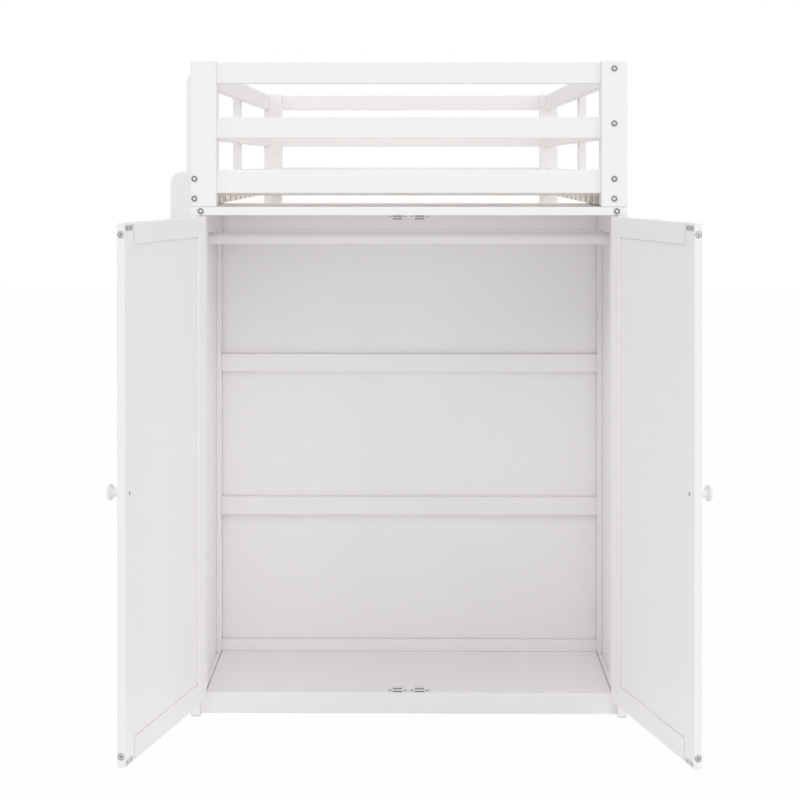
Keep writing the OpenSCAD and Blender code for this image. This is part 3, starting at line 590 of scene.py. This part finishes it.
@dataclass
class Stage:
    """The white floor, the light and the camera.

    The camera stands at its place in metres and looks along Y, tilted up and turned
    to the left by so many degrees, and its shift is a share of the picture's width.
    The floor throws back floor_white of the light that falls on it, and floor_glow
    of what the camera sees of it is plain white, so that only a soft shadow stays.
    """

    lens: float = 79.1
    sensor: float = 36.0
    clip: tuple[float, float] = (0.1, 60.0)
    place: tuple[float, float, float] = (0.01318, -5.12134, 1.3552)
    tilt: float = -0.27
    turn: float = 0.585
    shift: tuple[float, float] = (0.0035, -0.2856)
    lamps: tuple[Lamp, ...] = (
        Lamp("front_light", azimuth=0, height=1, softness=9, share=0.055),
        Lamp("right_front_light", azimuth=42, height=12, softness=40, share=0.078),
        Lamp("front_high_light", azimuth=0, height=50, softness=25, share=0.09),
        Lamp("right_side_light", azimuth=60, height=35, softness=30, share=0.155),
        Lamp("left_side_light", azimuth=-60, height=35, softness=30, share=0.17))
    ambient: float = 0.52
    floor_reach: float = 14.0
    floor_white: float = 0.95
    floor_glow: float = 0.97

    def camera(self) -> None:
        """Sets up the camera at the photograph's viewing angle."""
        data = bpy.data.cameras.new("camera")
        data.lens = self.lens
        data.sensor_width = self.sensor
        data.shift_x, data.shift_y = self.shift
        data.clip_start, data.clip_end = self.clip
        camera = bpy.data.objects.new("camera", data)
        camera.location = self.place
        camera.rotation_euler = (math.radians(90 + self.tilt), 0, math.radians(self.turn))
        bpy.context.scene.collection.objects.link(camera)
        bpy.context.scene.camera = camera

    def floor(self) -> None:
        """Lays a wide white floor that keeps the bed's soft shadow."""
        across = np.linspace(-self.floor_reach, self.floor_reach, 3)
        x, y = np.meshgrid(across, across, indexing="xy")
        points = np.stack([x, y, np.zeros_like(x)], -1).reshape(-1, 3)
        floor = mesh_object("floor", points, grid_faces(3, 3, closed=False).tolist())
        material, tree = new_material("white_studio_floor")
        white = add(tree, "BsdfDiffuse", {"Color": (*[self.floor_white] * 3, 1.0)})
        glow = add(tree, "Emission", {"Color": linear(WHITE), "Strength": 1.0})
        share = add(tree, "Math", {0: seen_directly(tree), 1: self.floor_glow}, operation="MULTIPLY")
        mixed = add(tree, "MixShader", {0: share.outputs[0], 1: white.outputs[0], 2: glow.outputs[0]})
        add(tree, "OutputMaterial", {"Surface": mixed.outputs[0]})
        floor.data.materials.append(material)

    def world(self) -> None:
        """Sets plain white light from all round, and pure white behind the bed."""
        world = bpy.data.worlds.new("studio")
        world.use_nodes = True
        bpy.context.scene.world = world
        tree = world.node_tree
        tree.nodes.clear()
        light = add(tree, "Background", {"Color": linear(WHITE), "Strength": self.ambient})
        white = add(tree, "Background", {"Color": linear(WHITE), "Strength": 1.0})
        mixed = add(tree, "MixShader", {0: seen_directly(tree), 1: light.outputs[0], 2: white.outputs[0]})
        add(tree, "OutputWorld", {"Surface": mixed.outputs[0]})

    def build(self) -> None:
        """Builds the whole stage."""
        self.camera()
        self.floor()
        self.world()
        for lamp in self.lamps:
            lamp.build()
        LOG.info("stage: camera, floor, world and %d soft lights", len(self.lamps))


def dress(node: str, material: bpy.types.Material) -> None:
    """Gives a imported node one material.

    Args:
        node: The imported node's name.
        material: The material for all its slots.
    """
    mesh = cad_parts[node].data
    if not mesh.materials:
        mesh.materials.append(material)
    for i in range(len(mesh.materials)):
        mesh.materials[i] = material
    LOG.info("%s: %s", node, material.name)


@dataclass(frozen=True)
class Fastener:
    """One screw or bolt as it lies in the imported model.

    Its seat is the middle of its head's outer face, in metres, and its axis points
    from there down the shank. The rest is in mm: its length, the radii of its head
    and its shank, and how far the middle of its head is raised above the brim.
    """

    seat: np.ndarray
    axis: np.ndarray
    length: float
    head: float
    shank: float
    raised: float

    # Shares of the widest reach from the axis, past which a point is taken for one of
    # the head, of its rim and of its brim, and the share of the depth past which only
    # the shank is left.
    HEAD: ClassVar[float] = 0.95
    RIM: ClassVar[float] = 0.9
    BRIM: ClassVar[float] = 0.98
    TAIL: ClassVar[float] = 0.6

    @classmethod
    def read(cls, points: np.ndarray) -> "Fastener":
        """Reads where a packed screw lies.

        Its axis is the direction in which its points spread most, and its head is at
        the end where they lie furthest from that axis.

        Args:
            points: The solid's points, in metres.

        Returns:
            The fastener, measured in mm, with its seat on the outer face of its head.
        """
        unique = np.unique(np.round(points, PLACES), axis=0)
        spread = unique - unique.mean(0)
        axis = np.linalg.svd(spread, full_matrices=False)[2][0]
        along = spread @ axis
        out = np.linalg.norm(spread - np.outer(along, axis), axis=1)
        if along[out > out.max() * cls.HEAD].mean() > (along.min() + along.max()) / 2:
            axis = -axis
        rows = basis(axis)
        across, depth = unique @ rows[:2].T, unique @ rows[2]
        rim = across[out > out.max() * cls.RIM]
        middle = (rim.min(0) + rim.max(0)) / 2
        radius = np.linalg.norm(across - middle, axis=1)
        top, deep = depth.min(), np.ptp(depth)
        tail = radius[depth > top + cls.TAIL * deep]
        brim = depth[radius > radius.max() * cls.BRIM].min()
        return cls(seat=middle @ rows[:2] + top * rows[2], axis=rows[2], length=deep / MM,
                   head=radius.max() / MM, shank=tail.max() / MM, raised=(brim - top) / MM)

    def place(self, rings: np.ndarray) -> np.ndarray:
        """Moves rings that start at the head's face to where the fastener lies.

        Args:
            rings: Rings x columns x 3 points in mm.

        Returns:
            The same rings in metres in the model's frame.
        """
        return self.seat + (rings * MM) @ basis(self.axis)


def hexagon(across_flats: float, columns: int) -> np.ndarray:
    """Radius of a hexagon at each angle: half the flats over the cosine from the nearest flat.

    Args:
        across_flats: Its size in mm.
        columns: Points on the ring.

    Returns:
        One radius for each angle.
    """
    sixth = math.pi / 3
    return across_flats / 2 / np.cos(np.mod(turns(columns), sixth) - sixth / 2)


def cross(arm: float, width: float, columns: int) -> np.ndarray:
    """Radius of a cross slot at each angle: the arm's length, or less where its side is met.

    Args:
        arm: Length of an arm from the middle, in mm.
        width: Half the width of an arm, in mm.
        columns: Points on the ring.

    Returns:
        One radius for each angle.
    """
    t = turns(columns)
    side = np.minimum(np.abs(np.sin(t)), np.abs(np.cos(t)))
    return width / np.maximum(side, width / arm)


class Zone(IntEnum):
    """The zones of a fastener's skin, by the number of their material."""

    BODY = 0
    SOCKET = 1
    FACE = 2


def skin(*parts: tuple[Zone, list[tuple]]) -> tuple[list[tuple], list[int]]:
    """Joins the profiles of a fastener's parts, and says which zone each band is in.

    Args:
        parts: The zone of each part, and the radius and depth of its rings in mm.

    Returns:
        The whole profile, and the zone of the first cap, of each band and of the last
        cap. A band is in the zone of the ring that it leads to.
    """
    profile = [row for _, rows in parts for row in rows]
    bands = [zone for zone, rows in parts for _ in rows] + [parts[-1][0]]
    return profile, bands


@dataclass
class Hardware:
    """Bolts, screws, nuts, hinges, plates and catches.

    A fastener whose head's radius is over bolt_from mm is a bolt, and a screw whose
    head stands over raised_from mm above its brim has a raised head.
    """

    zinc_nodes: tuple[str, ...] = ("barrel_nuts", "hinge_frame_leaves", "hinge_pins",
                                   "left_door_hinge_leaves", "right_door_hinge_leaves")
    bolt_from: float = 6.0
    raised_from: float = 0.3
    bolt_columns: int = 48
    screw_columns: int = 32

    def bolt(self, item: Fastener, head_high: float, socket: float) -> tuple[np.ndarray, list[int]]:
        """Shapes a bolt with a low domed head and a hexagon socket.

        Args:
            item: Where it lies and how large it is.
            head_high: The head's thickness in mm.
            socket: The socket's size across its flats in mm.

        Returns:
            The placed rings, and the material number of each band.
        """
        key = hexagon(socket, self.bolt_columns)
        r, shank, deep = item.head, item.shank, head_high * 0.7
        recess = [(key * 0.35, deep + 0.15), (key * 0.97, deep), (key, 0.2), (key + 0.2, 0.0)]
        face = [(r * 0.6, 0.0), (r * 0.8, 0.06)]
        dome = [(r * 0.92, 0.3), (r * 0.985, 0.75), (r, 1.2)]
        rim = [(r, head_high - 0.15), (r - 0.15, head_high)]
        stem = [(shank, head_high), (shank, item.length - 1.0), (shank - 0.7, item.length)]
        profile, bands = skin((Zone.SOCKET, recess), (Zone.FACE, face), (Zone.BODY, dome + rim + stem))
        return item.place(rings_of(profile, self.bolt_columns)), bands

    def screw(self, item: Fastener) -> tuple[np.ndarray, list[int]]:
        """Shapes a countersunk screw with a cross slot.

        A raised head is a dome over the countersink, and has the slot's finish all over.

        Args:
            item: Where it lies and how large it is.

        Returns:
            The placed rings, and the material number of each band.
        """
        r, shank, dome = item.head, item.shank, item.raised
        slot = cross(r * 0.62, r * 0.13, self.screw_columns)
        recess = [(slot * 0.3, r * 0.42), (slot * 0.9, r * 0.3), (slot, 0.04)]
        head = [(slot + 0.08, 0.0), (r - 0.12 - dome * 0.4, dome * 0.15),
                (r - 0.06 - dome * 0.1, 0.04 + dome * 0.6), (r, dome + 0.12)]
        stem = [(shank, dome + (r - shank) + 0.1), (shank, item.length - 2 * shank),
                (shank * 0.15, item.length)]
        head_zone = Zone.SOCKET if dome > self.raised_from else Zone.BODY
        profile, bands = skin((Zone.SOCKET, recess), (head_zone, head), (Zone.BODY, stem))
        return item.place(rings_of(profile, self.screw_columns)), bands

    def collect(self, node: str, name: str, body: str, materials: list[bpy.types.Material],
                bolt_head: float = 2.5, socket: float = 4.4) -> None:
        """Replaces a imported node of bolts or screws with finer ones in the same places.

        Args:
            node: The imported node's name.
            name: The new piece's name.
            body: The body that it moves with.
            materials: The finish of each zone, in the order of Zone.
            bolt_head: The thickness of the bolts' heads in mm.
            socket: The size of the bolts' sockets in mm.
        """
        shell = Shell()
        for points in solids_of(node):
            item = Fastener.read(points)
            if item.head > self.bolt_from:
                shell.rings(*self.bolt(item, bolt_head, socket))
            else:
                shell.rings(*self.screw(item))
        piece = shell.piece(name, materials)
        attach(piece, body)
        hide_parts(node)
        LOG.info("%s: %d faces", name, len(piece.data.polygons))

    def build(self) -> None:
        """Builds and dresses the metal and plastic fittings."""
        zinc = PlatedSteel("zinc_plated_steel").build()
        # A smoky grey steel with a clear shine: painted shade in sockets and slots, and a painted dark
        # reflection on the heads of the bed's bolts. It also covers the raised heads of screws.
        dark = PlatedSteel("dark_steel_painted_shade", colour="#7E8085", roughness=0.32).build()
        # Near-white zinc in the sockets of the bed's bolts: a painted highlight.
        painted_highlight_zinc = PlatedSteel("socket_zinc_painted_highlight", colour="#F2F2F3", roughness=0.5).build()
        # The face of a door bolt's head: a little paler than its rim as a painted highlight, and a little
        # duller.
        face = PlatedSteel("zinc_bolt_face_painted_highlight", colour="#BEBFC2", roughness=0.38).build()
        for node in self.zinc_nodes:
            dress(node, zinc)
        # Rolled sheet under nickel: a pale, slightly blue sheen.
        plate = PlatedSteel("nickel_plated_strike_plate", colour="#D3D5DA", roughness=0.42).build()
        for side in ("left", "right"):
            dress(side + "_door_strike_plates", plate)
            # On the door bolts the socket is painted shade and the face a painted highlight.
            self.collect(side + "_door_screws", side + "_door_bolts_and_screws", side + "_door",
                         [zinc, dark, face], socket=3.6)
        # The bed bolts' heads are dark as a painted dark reflection, and their sockets near white as a
        # painted highlight.
        self.collect("frame_bolts", "bed_bolts", "root", [dark, painted_highlight_zinc, dark])
        # The screws' slots are dark as painted shade.
        self.collect("wood_screws", "cross_slot_screws", "root", [zinc, dark, zinc])
        dress("magnetic_catches", MouldedPlastic("moulded_abs_catch").build())
        # Heat-blued poles: a dull brownish black.
        poles = PlatedSteel("blued_pole_steel", colour="#4E4C4A", roughness=0.45).build()
        dress("catch_poles", poles)


@dataclass
class Woodwork:
    """The painted boards, sorted by the way their grain runs, and the bare pine."""

    upright: tuple[str, ...] = (
        "front_left_post", "front_right_post", "rear_left_post", "rear_right_post",
        "guard_uprights", "ladder_near_stile", "ladder_far_stile", "front_left_leg",
        "front_right_leg", "rear_left_leg", "rear_right_leg", "left_side_panel",
        "right_side_panel", "back_panel", "left_door_hinge_stile", "left_door_free_stile",
        "left_door_panel", "right_door_hinge_stile", "right_door_free_stile",
        "right_door_panel")
    across: tuple[str, ...] = (
        "front_top_rail", "front_middle_rail", "front_bottom_rail", "rear_top_rail",
        "rear_middle_rail", "rear_bottom_rail", "rear_braces", "wardrobe_top", "front_ledge",
        "wardrobe_floor", "front_fascia", "back_battens", "left_door_rails", "right_door_rails")
    lengthwise: tuple[str, ...] = (
        "left_side_rail", "right_side_rail", "left_top_guard", "left_middle_guard",
        "right_top_guard", "right_middle_guard", "ladder_steps", "wardrobe_side_rails")

    def build(self) -> None:
        """Dresses every wooden node."""
        for way, names in zip(Along, (self.across, self.lengthwise, self.upright)):
            paint = SatinPaint("satin_white_paint_grain_" + way.name.lower(), way).build()
            for name in names:
                dress(name, paint)
        # The round rod gets no painted corner shade where it meets the boards.
        dress("hanging_rod", SatinPaint("satin_white_paint_rod", Along.X, painted_shade=WHITE).build())
        dress("slats", RawPine("bare_pine_slats", Along.X).build())
        # The ledgers' brown bands are painted shade of the slats, at the slats' pitch.
        dress("slat_ledgers", RawPine("bare_pine_ledgers", Along.Y, painted_shade_mm=138.4,
                                      painted_shade_start_mm=-817.3).build())


@dataclass
class TurnedKnob:
    """A turned wooden knob: a small foot, a waisted neck and a flaring, domed head.

    It stands on the outer face of one door, which is open by open_degrees at rest.
    The hand of a door is -1 on the left and 1 on the right. The keys are the radius
    and height, in mm, of the points that the knob's outline runs through, and no
    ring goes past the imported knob's radius and length.
    """

    side: str
    hand: int
    open_degrees: float
    length: float = 33.0
    radius: float = 18.25
    columns: int = 64
    smooth_angle: float = 60.0
    keys: tuple[tuple[float, float], ...] = (
        (10.4, 0.0), (10.5, 1.0), (9.9, 2.5), (9.3, 5.0), (9.1, 9.0), (9.2, 14.0), (9.8, 18.0),
        (11.6, 20.6), (14.4, 22.2), (16.8, 23.4), (18.0, 25.2), (18.1, 26.8), (17.2, 28.5),
        (15.2, 30.1), (12.0, 31.4), (8.3, 32.3), (4.5, 32.8), (0.6, 33.0))

    def facing(self) -> np.ndarray:
        """Gives the way the door's outer face looks: -Y, turned outwards by the open angle."""
        turn = math.radians(self.open_degrees)
        return np.array([self.hand * math.sin(turn), -math.cos(turn), 0.0])

    def profile(self, steps: int = 6) -> list[tuple[float, float]]:
        """Runs a smooth curve through the key points.

        Between two keys p1 and p2, with neighbours p0 and p3, the curve is the cubic
        that leaves each key along the line between its neighbours, as t runs from 0
        to 1: half of 2 p1 + (p2 - p0) t + (2 p0 - 5 p1 + 4 p2 - p3) t^2
        + (3 p1 - p0 - 3 p2 + p3) t^3.

        Args:
            steps: Points for each pair of keys.

        Returns:
            Radius and height of each ring, in mm.
        """
        keys = np.array(self.keys)
        k = np.concatenate([keys[:1], keys, keys[-1:]])
        t = (np.arange(steps) / steps)[None, :, None]
        p0, p1, p2, p3 = (k[i:i + len(keys) - 1, None, :] for i in range(4))
        curve = 0.5 * (2 * p1 + (p2 - p0) * t + (2 * p0 - 5 * p1 + 4 * p2 - p3) * t ** 2
                       + (3 * p1 - p0 - 3 * p2 + p3) * t ** 3)
        rows = np.concatenate([curve.reshape(-1, 2), keys[-1:]])
        return [(min(r, self.radius), min(h, self.length)) for r, h in rows]

    def build(self, paint: bpy.types.Material) -> None:
        """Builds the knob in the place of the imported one.

        Args:
            paint: Its finish.
        """
        node = self.side + "_door_knob"
        points = np.concatenate(solids_of(node))
        rows = basis(-self.facing())
        local = points @ rows.T
        low, high = local.min(0), local.max(0)
        seat = np.array([*(low[:2] + high[:2]) / 2, low[2]]) @ rows
        outward = [(r, self.length - h) for r, h in reversed(self.profile())]
        rings = seat + (rings_of(outward, self.columns) * MM) @ rows
        shell = Shell()
        shell.rings(rings, [0] * (len(rings) + 1))
        piece = shell.piece(self.side + "_turned_knob", [paint], self.smooth_angle)
        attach(piece, self.side + "_door")
        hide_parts(node)
        LOG.info("%s: %d faces", piece.name, len(piece.data.polygons))


def main() -> None:
    logging.basicConfig(level=logging.INFO, format="%(name)s %(message)s")
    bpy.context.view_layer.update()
    bpy.context.scene.view_settings.view_transform = "Standard"
    Stage().build()
    Woodwork().build()
    # The same paint shines a little more where the lathe left the wood smoother.
    knob_paint = SatinPaint("satin_white_paint_turned", Along.Y, roughness=0.34).build()
    TurnedKnob("left", hand=-1, open_degrees=103.6).build(knob_paint)
    TurnedKnob("right", hand=1, open_degrees=104.3).build(knob_paint)
    Hardware().build()


if __name__ == "__main__":
    main()
